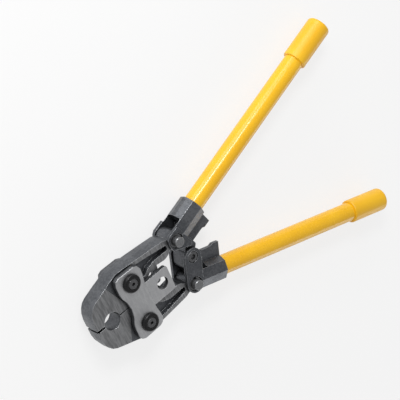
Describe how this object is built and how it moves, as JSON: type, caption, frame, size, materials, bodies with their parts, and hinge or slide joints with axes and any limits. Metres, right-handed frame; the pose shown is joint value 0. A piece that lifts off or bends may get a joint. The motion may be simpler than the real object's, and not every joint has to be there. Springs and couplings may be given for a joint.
{
  "type": "hand radial press tool for pipe fittings",
  "caption": "Long-handled hand press tool: two hinged steel jaws with half dies between connecting plates, spread by two yellow tube handles joined at a centre pin.",
  "frame": {"origin": "centre of the pressing die, on the middle plane of the jaws", "axes": "+X from the die towards the grips along the tool's long centre line, +Y to the upper jaw and handle, +Z along the pivot pins to the front side"},
  "size_m": [0.4013, 0.2658, 0.0412],
  "materials": {
    "plate_steel": "satin",
    "jaw_steel": "forged, ground faces",
    "forged_head": "forged and blackened",
    "black_steel": "blackened",
    "pin_steel": "ground",
    "yellow_lacquer": "gloss lacquer",
    "yellow_grip": "smooth soft plastic",
    "plug_plastic": "plain"
  },
  "bodies": {
    "tongs_frame": {"front_plate": "plate_steel", "rear_plate": "plate_steel", "upper_jaw_pin": "black_steel", "lower_jaw_pin": "black_steel", "jaw_pin_caps": "black_steel", "jaw_pin_screws": "black_steel"},
    "upper_lever": {"upper_jaw": "jaw_steel"},
    "lower_lever": {"lower_jaw": "jaw_steel"},
    "upper_handle": {"upper_head": "forged_head", "upper_tube": "yellow_lacquer", "upper_tube_plug": "plug_plastic", "upper_grip": "yellow_grip", "upper_fork_pin": "pin_steel", "upper_pin_rings": "black_steel"},
    "lower_handle": {"lower_head": "forged_head", "lower_tube": "yellow_lacquer", "lower_tube_plug": "plug_plastic", "lower_grip": "yellow_grip", "lower_fork_pin": "pin_steel", "lower_pin_rings": "black_steel", "centre_pin": "black_steel", "centre_screw": "black_steel"}
  },
  "joints": [
    {"name": "upper_jaw_pivot", "type": "hinge", "parent": "tongs_frame", "child": "upper_lever", "pos_m": [0.0342, 0.0265, 0], "axis": [0, 0, 1], "range_deg": [-1.65, 1.4]},
    {"name": "lower_jaw_pivot", "type": "hinge", "parent": "tongs_frame", "child": "lower_lever", "pos_m": [0.0342, -0.0265, 0], "axis": [0, 0, 1], "range_deg": [-1.4, 1.65]},
    {"name": "upper_handle_pivot", "type": "hinge", "parent": "upper_lever", "child": "upper_handle", "pos_m": [0.1024, 0.0296, 0], "axis": [0, 0, 1], "range_deg": [-19.9, 23.5]},
    {"name": "lower_handle_pivot", "type": "hinge", "parent": "lower_lever", "child": "lower_handle", "pos_m": [0.1024, -0.0296, 0], "axis": [0, 0, 1], "range_deg": [-23.5, 19.9]}
  ],
  "couplings": [
    {"joint": "upper_jaw_pivot", "follows": "upper_handle_pivot", "ratio": -0.0704},
    {"joint": "lower_jaw_pivot", "follows": "upper_handle_pivot", "ratio": 0.0704},
    {"joint": "lower_handle_pivot", "follows": "upper_handle_pivot", "ratio": -1}
  ]
}
